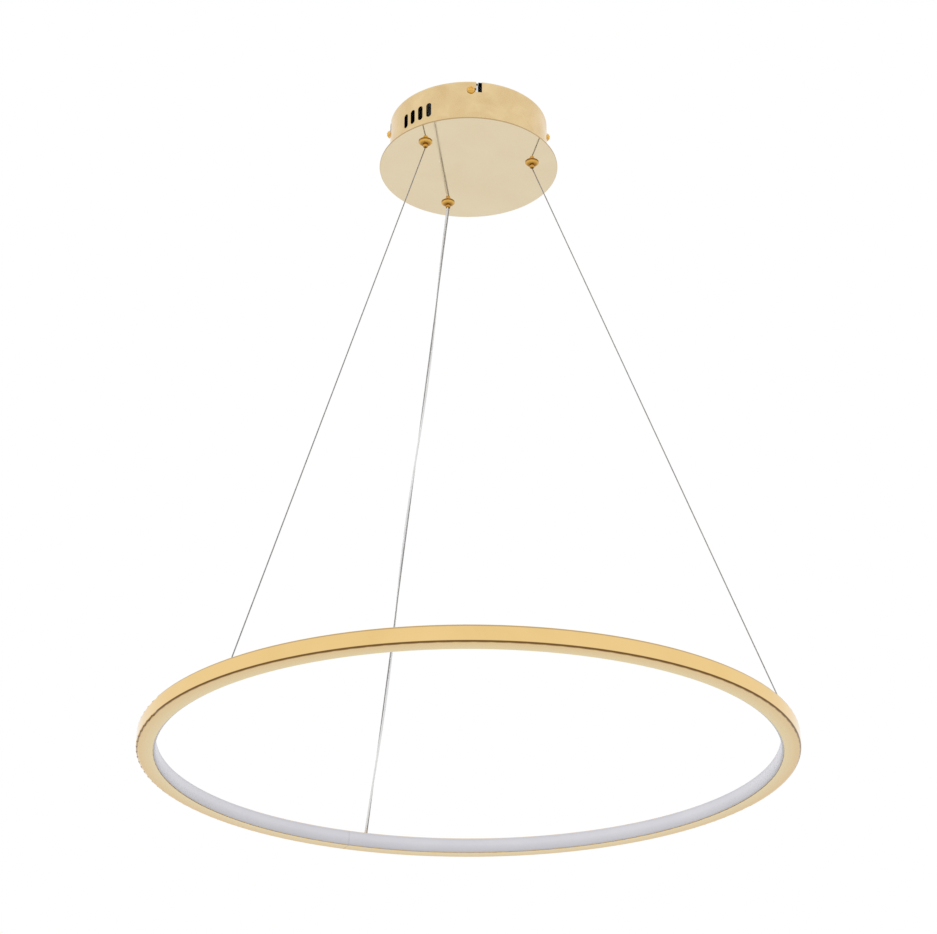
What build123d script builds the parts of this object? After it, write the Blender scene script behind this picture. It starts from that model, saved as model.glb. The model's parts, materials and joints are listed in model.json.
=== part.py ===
from build123d import *
from math import asin, cos, degrees, pi, radians, sin, tan
import os

# A ring-shaped pendant light: a round ceiling box, three steel wires and a lit ring.
# Millimetres. The origin is the middle of the ceiling plate's top face, which is the ceiling.
# +Z is up, +X to the viewer's right and -Y towards the viewer.

# ---- driving dimensions: the whole lamp ----
RING_R = 300.0            # outer radius of the ring
HANG_H = 642.7            # ceiling disc's underside to the ring's underside
FEED_AZ = 109.0           # direction of the gripper that holds the cable
WIRE_COUNT = 3
RING_TURN = (-1.0, 0.5, 2.0)    # degrees, each ring bush from its gripper's direction
GRIP_INSET = 14.9         # box wall's outer face to the grippers' circle

# ---- clearances ----
RUN_GAP = 0.05            # radial gap of a sliding nose or a screw in its thread
FIT_GAP = 0.1             # gap between fixed pieces that are pushed together
BODY_GAP = 0.3            # gap between pieces that move past each other
BORE_GAP = 0.15           # gap round a wire in its bore

# ---- ceiling box ----
SHELL_R = 81.4            # outer radius of the box wall
SHELL_H = 50.0
SHELL_T = 1.0
SHELL_EDGE = 1.2          # outer radius of the pressed corner
DISC_OVERHANG = 10.4      # disc's edge past the box wall
DISC_T = 1.5
DISC_EDGE = 0.4

# ---- vents ----
VENT_COUNT = 4
VENT_W = 5.8
VENT_H = 16.4
VENT_AZ = 229.5           # middle of the shown group
VENT_PITCH = 7.25         # degrees from slot to slot
VENT_RISE = 24.5          # slots' middle above the disc's underside

# ---- ceiling plate ----
PLATE_GAP = 0.4           # plate's rim to the box wall
PLATE_T = 1.2
TAB_COUNT = 4
TAB_TURN = 1.8            # turn of the tabs from the X axis, as hung
TAB_W = 14.0
TAB_H = 18.0
TAB_BEND = 2.0            # outer bend radius
TAB_RELIEF = 0.4          # slot beside each bend
TAB_GAP = 0.7             # tab corner to the box wall
TAB_COLLAR = 2.5          # depth of the drawn thread collar
CEILING_SLOT_SPACING = 70.0
CEILING_SLOT_L = 22.0
CEILING_SLOT_W = 5.0
BUSH_BORE = 8.0           # radius of the supply cable's way
BUSH_WALL = 2.0
BUSH_RIM = 3.0
BUSH_RIM_T = 1.2
EARTH_Y = -45.0
EARTH_HEAD_H = 2.4

# ---- side screws and their bayonet slots ----
SCREW_R = 1.95            # M4
SCREW_HEAD_R = 4.3
SCREW_HEAD_H = 3.2
SCREW_DROP = 10.4         # screws' middle below the ceiling
SCREW_IN = 8.0            # length behind the head
NOTCH_W = 5.8
NOTCH_TURN = 5.8          # degrees from the screw's rest to the notch
SLOT_GAP = 0.35           # shank to the slot's side
CROSS_W = 0.9
CROSS_L = 4.2
CROSS_DEPTH = 1.3

# ---- wires and cable ----
WIRE_D = 1.2
CABLE_D = 2.0
CABLE_SPACING = 1.75      # wire middle to cable middle, where both enter a bore
FEED_SHIFT = 1.1          # wire's shift from the bore's middle beside the cable
WIND_R = 1.8              # corners of the cable's slow winding round the wire
WIND_TURNS = 2
WIND_STEPS = 8            # points per turn
END_SPARE = 1.5           # drawn past each end, then cut level

# ---- wire grippers, heights from the disc's underside ----
FLANGE_R = 7.0
FLANGE_EDGE = 0.8
FLANGE_H = 3.2
FLANGE_FOOT_R = 3.3
FLANGE_BELLY_R = 5.4
FLANGE_BELLY_H = 2.35
SHANK_TOP = 15.0
SHANK_WALL = 0.8
NOSE_R = 2.45
NOSE_TIP = 7.0            # nose's end below the disc
NOSE_ROUND = 1.3
NOSE_TRAVEL = 2.0
CONE_FOOT = 5.0           # where the locking cone starts
CONE_TOP = 10.0
CONE_STEP = 0.75          # jaw chamber's radius over the nose's
NOSE_TOP = 6.0
JAW_TOP = 9.8
JAW_COUNT = 3
JAW_SLIT = 0.6
SPRING_T = 0.6
SPRING_SOLID = 1.7        # pressed length of the spring
CAP_H = 1.5
FEED_BORE = 1.8           # bore radius where wire and cable share it
NUT_AF = 13.0
NUT_H = 4.0
WASHER_R = 8.0
WASHER_T = 1.0
STOP_R = 1.6              # crimped stop on the wire's tail
STOP_L = 6.0
FEED_STOP_RISE = 8.0      # room for the cable to turn away below the stop
TAIL_SPARE = 2.0

# ---- ring profile, heights from the ring's underside ----
PROFILE_H = 15.5
PROFILE_W = 15.3
PROFILE_T = 1.2
PROFILE_EDGE = 2.2        # radius of the outer corners
LIP_T = 0.8
LIP_IN = 0.8              # lip's distance from the profile's inner edge
SEAM_GAP = 0.2
SEAM_FROM_FEED = 22.0     # along the ring, from the cable's way in to the seam

# ---- diffuser ----
DIFFUSER_PROUD = 1.9
DIFFUSER_FOOT = 0.7       # its face above the ring's underside
DIFFUSER_HEAD = 0.6       # its face below the ring's top
DIFFUSER_EDGE = 0.7
LEG_T = 1.5
LEG_L = 2.8

# ---- wire bushes in the ring's top ----
ANCHOR_INSET = 7.2        # ring's outer face to the bushes' circle
COLLAR_R = 3.6
COLLAR_H = 1.5
ANCHOR_SHANK_R = 2.6
ANCHOR_SHANK_L = 4.4
ANCHOR_NUT_AF = 7.0
ANCHOR_NUT_H = 2.4
FERRULE_R = 1.3
FERRULE_L = 3.5
FEED_FERRULE_DROP = 8.5   # below the ring's top, under the cable's turn

# ---- light strip ----
BOARD_T = 0.4
BOARD_W = 10.0
CHIP_W = 3.5
CHIP_H = 2.8
CHIP_T = 0.8
CHIP_COUNT = 96
CLIP_L = 10.0
CLIP_T = 4.7
CLIP_H = 8.0
CLIP_EDGE = 0.8
CLIP_FROM_FEED = 9.0

# ---- ring splice ----
SPLICE_L = 32.0
SPLICE_W = 7.6
SPLICE_T = 2.0
SPLICE_HEAD_R = 2.2
SPLICE_HEAD_H = 0.9
SPLICE_SCREW_R = 1.2
SPLICE_DRIVE_R = 0.96     # driver's socket in the head
SPLICE_SCREWS = (-12.0, -5.0, 5.0, 12.0)

# ---- driver in the ceiling box ----
DRIVER_ROOM = 32.4        # driver's end to the box wall, for its leads
DRIVER_W = 40.0
DRIVER_H = 24.0
DRIVER_T = 1.6
DRIVER_LID_T = 1.6
DRIVER_EAR = 9.0
DRIVER_EAR_W = 6.4
DRIVER_SCREW_R = 1.45
DRIVER_HEAD_R = 2.9
DRIVER_HEAD_H = 2.0
DRIVER_BOARD_T = 1.6
DRIVER_BOARD_RISE = 3.0
DRIVER_POST_INSET = 7.5
CORE_L = 18.0             # transformer
CORE_W = 16.0
CORE_H = 13.0
CORE_X = -6.0
# each capacitor's end of the driver, distance from that end, y, radius and height
CAPACITORS = ((1, 22, -7, 5.0, 13), (1, 12, 6, 4.0, 12), (-1, 10, 7, 3.5, 11), (-1, 10, -9, 2.5, 9))
MOULD_EDGE = 1.0          # broken edge of moulded pieces
LEAD_D = 4.0
LEAD_RISE = 12.0          # leads' height above the box floor
BLOCK_L = 30.0
BLOCK_W = 16.0
BLOCK_H = 14.0
BLOCK_X = 25.0
BLOCK_INSET = 38.4        # box wall to the block's middle
BLOCK_WAYS = 3
BLOCK_SCREW_R = 1.7
BLOCK_SCREW_SINK = 2.0
BLOCK_SLOT_W = 0.6
BLOCK_SLOT_DEPTH = 0.8
CONNECTOR_L = 10.0
CONNECTOR_W = 6.0
CONNECTOR_H = 5.0
CONNECTOR_EDGE = 0.8
CONNECTOR_GAP = 13.7      # driver's end to the connector's middle
CONNECTOR_Y = 2.0
LATCH_L = 7.0
LATCH_H = 1.0

# ---- cords ----
ARC_SHARE = 0.45          # share of the shorter run that an arc takes

# ---- places that follow from the sizes above ----
SHELL_IN_R = SHELL_R - SHELL_T
SHELL_BOTTOM = -BODY_GAP - SHELL_H
FLOOR = SHELL_BOTTOM + SHELL_T
DISC_BOTTOM = SHELL_BOTTOM - DISC_T
RING_BOTTOM = DISC_BOTTOM - HANG_H
RING_TOP = RING_BOTTOM + PROFILE_H
PROFILE_IN_R = RING_R - PROFILE_W
WEB_IN_R = RING_R - PROFILE_T
DISC_R = SHELL_R + DISC_OVERHANG
PLATE_R = SHELL_IN_R - PLATE_GAP
GRIP_R = SHELL_R - GRIP_INSET
ANCHOR_R = RING_R - ANCHOR_INSET
GRIP_AZ = [FEED_AZ + 360 / WIRE_COUNT * k for k in range(1, WIRE_COUNT)] + [FEED_AZ]
ANCHOR_AZ = [az + turn for az, turn in zip(GRIP_AZ, RING_TURN)]
FEED = WIRE_COUNT - 1     # index of the wire that carries the cable
TAB_AZ = [TAB_TURN + 360 / TAB_COUNT * k for k in range(TAB_COUNT)]
TAB_OUT = (SHELL_IN_R - TAB_GAP) * cos(asin(TAB_W / 2 / (SHELL_IN_R - TAB_GAP)))
WIRE_R = WIRE_D / 2
EXIT_Z = DISC_BOTTOM - NOSE_TIP
ENTRY_Z = RING_TOP + COLLAR_H
SEAM_AZ = ANCHOR_AZ[FEED] + degrees(SEAM_FROM_FEED / ANCHOR_R)
CLIP_AZ = ANCHOR_AZ[FEED] + degrees((CLIP_FROM_FEED + CLIP_L / 2) / ANCHOR_R)
BORE_R = NOSE_R + RUN_GAP
CHAMBER_R = NOSE_R + CONE_STEP
SHANK_R = CHAMBER_R + SHANK_WALL    # M8 thread
CAP_FOOT = JAW_TOP + NOSE_TRAVEL + SPRING_SOLID
DRIVER_L = 2 * (SHELL_IN_R - DRIVER_ROOM)
BLOCK_Y = SHELL_IN_R - BLOCK_INSET
CONNECTOR_X = -DRIVER_L / 2 - CONNECTOR_GAP
LEAD_Z = FLOOR + LEAD_RISE
BOARD_TOP = FLOOR + DRIVER_T + DRIVER_BOARD_RISE + DRIVER_BOARD_T


def rod(radius, low, high):
    return Pos(0, 0, low) * Cylinder(radius, high - low, align=(Align.CENTER, Align.CENTER, Align.MIN))


def pipe(radius, bore, low, high):
    return rod(radius, low, high) - rod(bore, low, high)


def block(x, y, z):
    size = [high - low for low, high in (x, y, z)]
    middle = [(high + low) / 2 for low, high in (x, y, z)]
    return Pos(*middle) * Box(*size)


def hexagon(flats, bore, low, high):
    corner = flats / 2 / cos(radians(30))
    prism = Pos(0, 0, low) * extrude(RegularPolygon(corner, 6), high - low)
    return prism - rod(bore, low, high)


def section(points):
    return make_face(Plane.XZ * Polyline(*points, close=True))


def turned(points, angle=360):
    return revolve(section(points), Axis.Z, angle)


def at(az, radius=0, z=0):
    return Rot(0, 0, az) * Pos(radius, 0, z)


def group(shapes):
    return Compound(children=[solid for shape in shapes for solid in shape.solids()])


def outward(az, radius, z):
    return at(az, radius, z) * Rot(0, 90, 0)


def cone_r(z):
    return BORE_R + (CHAMBER_R - BORE_R) * (z - CONE_FOOT) / (CONE_TOP - CONE_FOOT)


def corner_radii(points):
    radii = []
    for before, corner, after in zip(points, points[1:], points[2:]):
        turn = (corner - before).get_angle(after - corner)
        shorter = min((corner - before).length, (after - corner).length)
        radii.append(ARC_SHARE * shorter / tan(radians(turn / 2)))
    return radii


def cord(name, points, diameter):
    points = [Vector(*point) for point in points]
    radii = corner_radii(points)
    path = FilletPolyline(*points, radius=radii)
    start = Plane(origin=path @ 0, z_dir=path % 0)
    solid = sweep(start * Circle(diameter / 2), path=path)
    wanted = pi * diameter ** 2 / 4 * path.length
    print(name, "length", round(path.length, 1), "least radius", round(min(radii), 1),
          "volume ratio", round(solid.volume / wanted, 4))
    return solid


# ---- shared places ----
EARTH_PLACE = Pos(0, EARTH_Y, 0)
LEVEL_CUT = block((-RING_R, RING_R), (-RING_R, RING_R), (ENTRY_Z, EXIT_Z))
FLOOR_SCREWS = [Pos(side * (DRIVER_L + DRIVER_EAR) / 2, -side * (DRIVER_W - DRIVER_EAR_W) / 2, 0)
                for side in (-1, 1)]


# ---- ceiling plate and what it carries ----
def ceiling_plate():
    plate = rod(PLATE_R, -PLATE_T, 0)
    relief = TAB_W / 2 + TAB_RELIEF
    for az in TAB_AZ:
        plate -= at(az) * block((TAB_OUT - 2 * TAB_BEND, SHELL_R), (-relief, relief), (-PLATE_T, 0))
    for az in TAB_AZ:
        arm = block((0, TAB_OUT), (-TAB_W / 2, TAB_W / 2), (-TAB_H, 0))
        arm = fillet(arm.edges().filter_by(Axis.Y).group_by(Axis.Z)[-1].sort_by(Axis.X)[-1], TAB_BEND)
        hollow = block((-PLATE_T, TAB_OUT - PLATE_T), (-TAB_W, TAB_W), (-TAB_H - PLATE_T, -PLATE_T))
        hollow = fillet(hollow.edges().filter_by(Axis.Y).group_by(Axis.Z)[-1].sort_by(Axis.X)[-1],
                        TAB_BEND - PLATE_T)
        arm -= hollow
        arm += outward(0, TAB_OUT, -SCREW_DROP) * rod(2 * SCREW_R, -TAB_COLLAR - PLATE_T, -PLATE_T / 2)
        arm -= outward(0, TAB_OUT, -SCREW_DROP) * rod(SCREW_R + RUN_GAP, -TAB_COLLAR - 2 * PLATE_T, PLATE_T)
        plate += at(az) * arm
    plate -= rod(BUSH_BORE + BUSH_WALL + RUN_GAP, -PLATE_T, 0)
    for side in (-1, 1):
        slot = extrude(SlotOverall(CEILING_SLOT_L, CEILING_SLOT_W), PLATE_T)
        plate -= Pos(side * CEILING_SLOT_SPACING / 2, 0, -PLATE_T) * slot
    plate -= EARTH_PLACE * rod(SCREW_R + RUN_GAP, -PLATE_T, 0)
    return plate


def supply_bush():
    sleeve = pipe(BUSH_BORE + BUSH_WALL, BUSH_BORE, -PLATE_T - BUSH_RIM_T, 0)
    return sleeve + pipe(BUSH_BORE + BUSH_WALL + BUSH_RIM, BUSH_BORE, -PLATE_T - BUSH_RIM_T, -PLATE_T)


def earth_screw():
    head = rod(2 * SCREW_R, -PLATE_T - EARTH_HEAD_H, -PLATE_T)
    head = fillet(head.edges().group_by(Axis.Z)[0], EARTH_HEAD_H / 4)
    head -= block((-CROSS_L, CROSS_L), (-CROSS_W / 2, CROSS_W / 2),
                  (-PLATE_T - EARTH_HEAD_H, -PLATE_T - EARTH_HEAD_H + CROSS_DEPTH))
    return EARTH_PLACE * (head + rod(SCREW_R, -PLATE_T, 0))


def side_screw(az):
    dome_r = (SCREW_HEAD_R ** 2 + SCREW_HEAD_H ** 2) / (2 * SCREW_HEAD_H)
    head = Pos(0, 0, SCREW_HEAD_H - dome_r) * Sphere(dome_r)
    head &= rod(SCREW_HEAD_R, 0, SCREW_HEAD_H)
    for turn in (0, 90):
        bar = block((-CROSS_L / 2, CROSS_L / 2), (-CROSS_W / 2, CROSS_W / 2),
                    (SCREW_HEAD_H - CROSS_DEPTH, SCREW_HEAD_H))
        head -= Rot(0, 0, turn) * bar
    screw = head + rod(SCREW_R, -SCREW_IN, 0)
    return outward(az, SHELL_R + BODY_GAP, -SCREW_DROP) * screw


# ---- ceiling box ----
def canopy_shell():
    shell = rod(SHELL_R, SHELL_BOTTOM, -BODY_GAP)
    shell = fillet(shell.edges().group_by(Axis.Z)[0], SHELL_EDGE)
    hollow = rod(SHELL_IN_R, FLOOR, 0)
    shell -= fillet(hollow.edges().group_by(Axis.Z)[0], SHELL_EDGE - SHELL_T / 2)
    for side in (0, 180):
        for k in range(VENT_COUNT):
            az = VENT_AZ + side + VENT_PITCH * (k - (VENT_COUNT - 1) / 2)
            slot = extrude(SlotOverall(VENT_H, VENT_W), 2 * SHELL_T, both=True)
            shell -= outward(az, SHELL_R, DISC_BOTTOM + VENT_RISE) * slot
    reach = SCREW_R + SLOT_GAP
    for az in TAB_AZ:
        notch = block((-2 * SHELL_T, 2 * SHELL_T), (-NOTCH_W / 2, NOTCH_W / 2), (-SCREW_DROP - reach, 0))
        shell -= at(az + NOTCH_TURN, SHELL_R) * notch
        low, high = -SCREW_DROP - reach, -SCREW_DROP + reach
        inner, outer = SHELL_R - 2 * SHELL_T, SHELL_R + 2 * SHELL_T
        shell -= at(az) * turned([(inner, low), (outer, low), (outer, high), (inner, high)], NOTCH_TURN)
        shell -= outward(az, SHELL_R, -SCREW_DROP) * rod(reach, -2 * SHELL_T, 2 * SHELL_T)
    for az in GRIP_AZ:
        shell -= at(az, GRIP_R) * rod(SHANK_R + FIT_GAP, SHELL_BOTTOM, FLOOR)
    for place in FLOOR_SCREWS:
        shell -= place * rod(DRIVER_SCREW_R + RUN_GAP, SHELL_BOTTOM, FLOOR)
    return shell


def canopy_disc():
    disc = rod(DISC_R, DISC_BOTTOM, SHELL_BOTTOM)
    disc = fillet(disc.edges(), DISC_EDGE)
    for az in GRIP_AZ:
        disc -= at(az, GRIP_R) * rod(SHANK_R + FIT_GAP, DISC_BOTTOM, SHELL_BOTTOM)
    return disc


# ---- wire grippers, each made upright about its own axis, from the disc's underside ----
def gripper_body():
    rim, foot = (FLANGE_R, -FLANGE_EDGE), (FLANGE_FOOT_R, -FLANGE_H)
    belly = ThreePointArc(rim, (FLANGE_BELLY_R, -FLANGE_BELLY_H), foot)
    rest = Polyline(foot, (BORE_R, -FLANGE_H), (BORE_R, CONE_FOOT), (CHAMBER_R, CONE_TOP),
                    (CHAMBER_R, SHANK_TOP), (SHANK_R, SHANK_TOP), (SHANK_R, 0), (FLANGE_R, 0), rim)
    return revolve(make_face(Plane.XZ * Curve([belly, rest])), Axis.Z)


def gripper_nose(bore):
    nose = turned([(bore, -NOSE_TIP), (NOSE_R, -NOSE_TIP), (NOSE_R, CONE_FOOT),
                   (cone_r(NOSE_TOP) - RUN_GAP, NOSE_TOP), (bore, NOSE_TOP)])
    tip = nose.edges().group_by(Axis.Z)[0].sort_by(SortBy.RADIUS)[-1]
    return fillet(tip, min(NOSE_ROUND, NOSE_R - bore - RUN_GAP))


def gripper_jaws(bore):
    low = NOSE_TOP + FIT_GAP
    jaws = turned([(bore, low), (cone_r(low) - RUN_GAP, low), (cone_r(JAW_TOP) - RUN_GAP, JAW_TOP),
                   (bore, JAW_TOP)])
    for k in range(JAW_COUNT):
        slit = block((0, 2 * CHAMBER_R), (-JAW_SLIT / 2, JAW_SLIT / 2), (0, JAW_TOP))
        jaws -= Rot(0, 0, 90 + 360 / JAW_COUNT * k) * slit
    return group([jaws])


def gripper_spring():
    outer = CHAMBER_R - 2 * FIT_GAP
    return pipe(outer, outer - SPRING_T, JAW_TOP + FIT_GAP, CAP_FOOT)


def gripper_cap(bore):
    plug = pipe(CHAMBER_R - RUN_GAP, bore, CAP_FOOT, SHANK_TOP)
    return plug + pipe(SHANK_R, bore, SHANK_TOP, SHANK_TOP + CAP_H)


def gripper_washer():
    low = FLOOR - DISC_BOTTOM
    return pipe(WASHER_R, SHANK_R + FIT_GAP, low, low + WASHER_T)


def gripper_nut():
    low = FLOOR - DISC_BOTTOM + WASHER_T
    return hexagon(NUT_AF, SHANK_R + RUN_GAP, low, low + NUT_H)


# ---- wires ----
def wire_shift(k):
    return FEED_SHIFT if k == FEED else 0


def bore_of(k):
    return FEED_BORE if k == FEED else WIRE_R + BORE_GAP


def in_gripper(k):
    return at(GRIP_AZ[k], GRIP_R, DISC_BOTTOM) * Pos(0, -wire_shift(k), 0)


def in_ring(k):
    return at(ANCHOR_AZ[k], ANCHOR_R, RING_TOP) * Pos(0, -wire_shift(k), 0)


def free_ends(k):
    top = in_gripper(k) * Pos(0, 0, -NOSE_TIP)
    end = in_ring(k) * Pos(0, 0, COLLAR_H)
    return top.position, end.position


def wire_free(k):
    top, end = free_ends(k)
    long = (end - top).length
    wire = Plane(origin=top, z_dir=end - top) * rod(WIRE_R, -END_SPARE, long + END_SPARE)
    print(f"suspension_wire_{k + 1} length", round(long, 1))
    return wire & LEVEL_CUT


def stop_foot(k):
    rise = FEED_STOP_RISE if wire_shift(k) else BODY_GAP
    return SHANK_TOP + CAP_H + rise


def wire_tail(k):
    rod_up = rod(WIRE_R, -NOSE_TIP, stop_foot(k) + STOP_L + TAIL_SPARE)
    return in_gripper(k) * rod_up


def wire_stop(k):
    sleeve = pipe(STOP_R, WIRE_R + FIT_GAP / 2, stop_foot(k), stop_foot(k) + STOP_L)
    return in_gripper(k) * sleeve


def ferrule_top(k):
    return FEED_FERRULE_DROP if wire_shift(k) else ANCHOR_SHANK_L + BODY_GAP


def wire_end(k):
    rod_down = rod(WIRE_R, -ferrule_top(k) - FERRULE_L, COLLAR_H)
    return in_ring(k) * rod_down


def wire_ferrule(k):
    low = -ferrule_top(k) - FERRULE_L
    sleeve = pipe(FERRULE_R, WIRE_R + FIT_GAP / 2, low, -ferrule_top(k))
    return in_ring(k) * sleeve


# ---- cable: inside the box, down round the third wire, and inside the ring ----
def cable_free():
    top, end = free_ends(FEED)
    along = (end - top).normalized()
    side = Vector(0, 0, 1).cross(along).normalized()
    across = along.cross(side)
    steps = WIND_TURNS * WIND_STEPS
    points = []
    for step in range(steps + 1):
        turn = radians(360 / WIND_STEPS * step)
        radius = CABLE_SPACING if step in (0, steps) else WIND_R
        middle = top + (end - top) * (step / steps)
        points.append(middle + side * (radius * cos(turn)) + across * (radius * sin(turn)))
    points[0] -= along * END_SPARE
    points[-1] += along * END_SPARE
    return cord("power_cable", points, CABLE_D) & LEVEL_CUT


def cable_inner():
    start = (in_gripper(FEED) * Pos(0, CABLE_SPACING, 0)).position
    x, y = start.X, start.Y
    points = [(x, y, EXIT_Z), (x, y, DISC_BOTTOM + 21), (x - 7, y - 2, DISC_BOTTOM + 30),
              (x - 16, y - 7, DISC_BOTTOM + 31), (-48, 49, DISC_BOTTOM + 25), (-57, 40, DISC_BOTTOM + 18),
              (CONNECTOR_X, 31, LEAD_Z), (CONNECTOR_X, CONNECTOR_Y + 2 * CONNECTOR_L, LEAD_Z)]
    return cord("cable_inner", points, CABLE_D)


def output_lead():
    points = [(-DRIVER_L / 2, -12, LEAD_Z), (-DRIVER_L / 2 - 8, -12, LEAD_Z),
              (CONNECTOR_X, -6.3, LEAD_Z), (CONNECTOR_X, CONNECTOR_Y, LEAD_Z)]
    return cord("output_lead", points, CABLE_D)


def mains_lead():
    block_end = BLOCK_X + BLOCK_L / 2
    block_z = FLOOR + BLOCK_H / 2
    points = [(DRIVER_L / 2, 8, LEAD_Z), (DRIVER_L / 2 + 10, 8, LEAD_Z),
              (DRIVER_L / 2 + 19.9, 17.9, LEAD_Z - 1), (DRIVER_L / 2 + 19.9, 31.9, block_z + 1),
              (block_end + 16, BLOCK_Y, block_z), (block_end, BLOCK_Y, block_z)]
    return cord("mains_lead", points, LEAD_D)


def cable_end():
    side = CABLE_SPACING - FEED_SHIFT
    points = [(0, side, COLLAR_H), (0, side, -6), (1, 4, -9), (2, CLIP_FROM_FEED - BODY_GAP, -9.5)]
    place = at(ANCHOR_AZ[FEED], ANCHOR_R, RING_TOP)
    return place * cord("cable_end", points, CABLE_D)


# ---- driver ----
def driver_case():
    half_l, half_w = DRIVER_L / 2, DRIVER_W / 2
    case = block((-half_l, half_l), (-half_w, half_w), (FLOOR, FLOOR + DRIVER_H - DRIVER_LID_T))
    case = fillet(case.edges().filter_by(Axis.Z), 2 * DRIVER_T)
    case -= block((DRIVER_T - half_l, half_l - DRIVER_T), (DRIVER_T - half_w, half_w - DRIVER_T),
                  (FLOOR + DRIVER_T, FLOOR + DRIVER_H))
    for place in FLOOR_SCREWS:
        y = place.position.Y
        side = 1 if place.position.X > 0 else -1
        reach = sorted((side * (half_l - DRIVER_T), side * (half_l + DRIVER_EAR)))
        ear = block(reach, (y - DRIVER_EAR_W / 2, y + DRIVER_EAR_W / 2), (FLOOR, FLOOR + DRIVER_T))
        case += ear - place * rod(DRIVER_SCREW_R + FIT_GAP, FLOOR, FLOOR + DRIVER_T)
    return case


def driver_lid():
    top = FLOOR + DRIVER_H
    half_l, half_w = DRIVER_L / 2, DRIVER_W / 2
    lid = block((-half_l, half_l), (-half_w, half_w), (top - DRIVER_LID_T, top))
    lid = fillet(lid.edges().filter_by(Axis.Z), 2 * DRIVER_T)
    lid = chamfer(lid.edges().group_by(Axis.Z)[-1], DRIVER_LID_T / 3)
    inset = DRIVER_T + FIT_GAP
    rib = block((inset - half_l, half_l - inset), (inset - half_w, half_w - inset),
                (top - 2 * DRIVER_LID_T, top - DRIVER_LID_T))
    rib -= block((2 * inset - half_l, half_l - 2 * inset), (2 * inset - half_w, half_w - 2 * inset),
                 (top - 2 * DRIVER_LID_T, top - DRIVER_LID_T))
    return lid + rib


def driver_board():
    inset = DRIVER_T + BODY_GAP
    low = FLOOR + DRIVER_T + DRIVER_BOARD_RISE
    board = block((inset - DRIVER_L / 2, DRIVER_L / 2 - inset), (inset - DRIVER_W / 2, DRIVER_W / 2 - inset),
                  (low, low + DRIVER_BOARD_T))
    for x in (-1, 1):
        for y in (-1, 1):
            post = rod(2 * DRIVER_SCREW_R, FLOOR + DRIVER_T, low)
            corner = Pos(x * (DRIVER_L / 2 - DRIVER_POST_INSET), y * (DRIVER_W / 2 - DRIVER_POST_INSET), 0)
            board += corner * post
    return board


def driver_transformer():
    core = block((CORE_X - CORE_L / 2, CORE_X + CORE_L / 2), (-CORE_W / 2, CORE_W / 2),
                 (BOARD_TOP, BOARD_TOP + CORE_H))
    return chamfer(core.edges().group_by(Axis.Z)[-1], MOULD_EDGE)


def driver_capacitors():
    cans = []
    for end, inset, y, radius, height in CAPACITORS:
        can = rod(radius, BOARD_TOP, BOARD_TOP + height)
        cans.append(Pos(end * (DRIVER_L / 2 - inset), y, 0) * can)
    return group(cans)


def driver_screws():
    low = FLOOR + DRIVER_T
    screws = []
    for place in FLOOR_SCREWS:
        head = rod(DRIVER_HEAD_R, low, low + DRIVER_HEAD_H)
        head = fillet(head.edges().group_by(Axis.Z)[-1], DRIVER_HEAD_H / 2.5)
        screws.append(place * (head + rod(DRIVER_SCREW_R, SHELL_BOTTOM, low)))
    return group(screws)


def terminal_block():
    body = block((-BLOCK_L / 2, BLOCK_L / 2), (-BLOCK_W / 2, BLOCK_W / 2), (0, BLOCK_H))
    body = chamfer(body.edges().group_by(Axis.Z)[-1], MOULD_EDGE)
    for x in block_ways():
        body -= Pos(x, 0, BLOCK_H / 2) * rod(BLOCK_SCREW_R + RUN_GAP, 0, BLOCK_H / 2)
        body -= Pos(x, BLOCK_W / 2, BLOCK_H / 3) * Rot(90, 0, 0) * rod(BLOCK_SCREW_R, 0, BLOCK_W / 3)
    return Pos(BLOCK_X, BLOCK_Y, FLOOR) * body


def block_ways():
    pitch = BLOCK_L / BLOCK_WAYS
    return [pitch * (way - (BLOCK_WAYS - 1) / 2) for way in range(BLOCK_WAYS)]


def terminal_screws():
    screws = []
    top = BLOCK_H - BLOCK_SCREW_SINK
    for x in block_ways():
        screw = rod(BLOCK_SCREW_R, BLOCK_H / 2, top)
        screw -= block((-BLOCK_SCREW_R, BLOCK_SCREW_R), (-BLOCK_SLOT_W / 2, BLOCK_SLOT_W / 2),
                       (top - BLOCK_SLOT_DEPTH, top))
        screws.append(Pos(BLOCK_X + x, BLOCK_Y, FLOOR) * screw)
    return group(screws)


def connector_half(y, lip):
    half = Pos(CONNECTOR_X, y, LEAD_Z) * Box(CONNECTOR_W, CONNECTOR_L, CONNECTOR_H,
                                             align=(Align.CENTER, Align.MIN, Align.CENTER))
    half = chamfer(half.edges().filter_by(Axis.Y), CONNECTOR_EDGE)
    latch = Pos(CONNECTOR_X, y + CONNECTOR_L / 2, LEAD_Z + CONNECTOR_H / 2) * Box(
        lip, LATCH_L, LATCH_H, align=(Align.CENTER, Align.CENTER, Align.MIN))
    return half + latch


# ---- ring ----
def around(face):
    gap = degrees(SEAM_GAP / RING_R)
    return at(SEAM_AZ + gap / 2, 0, RING_BOTTOM) * revolve(face, Axis.Z, 360 - gap)


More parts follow.
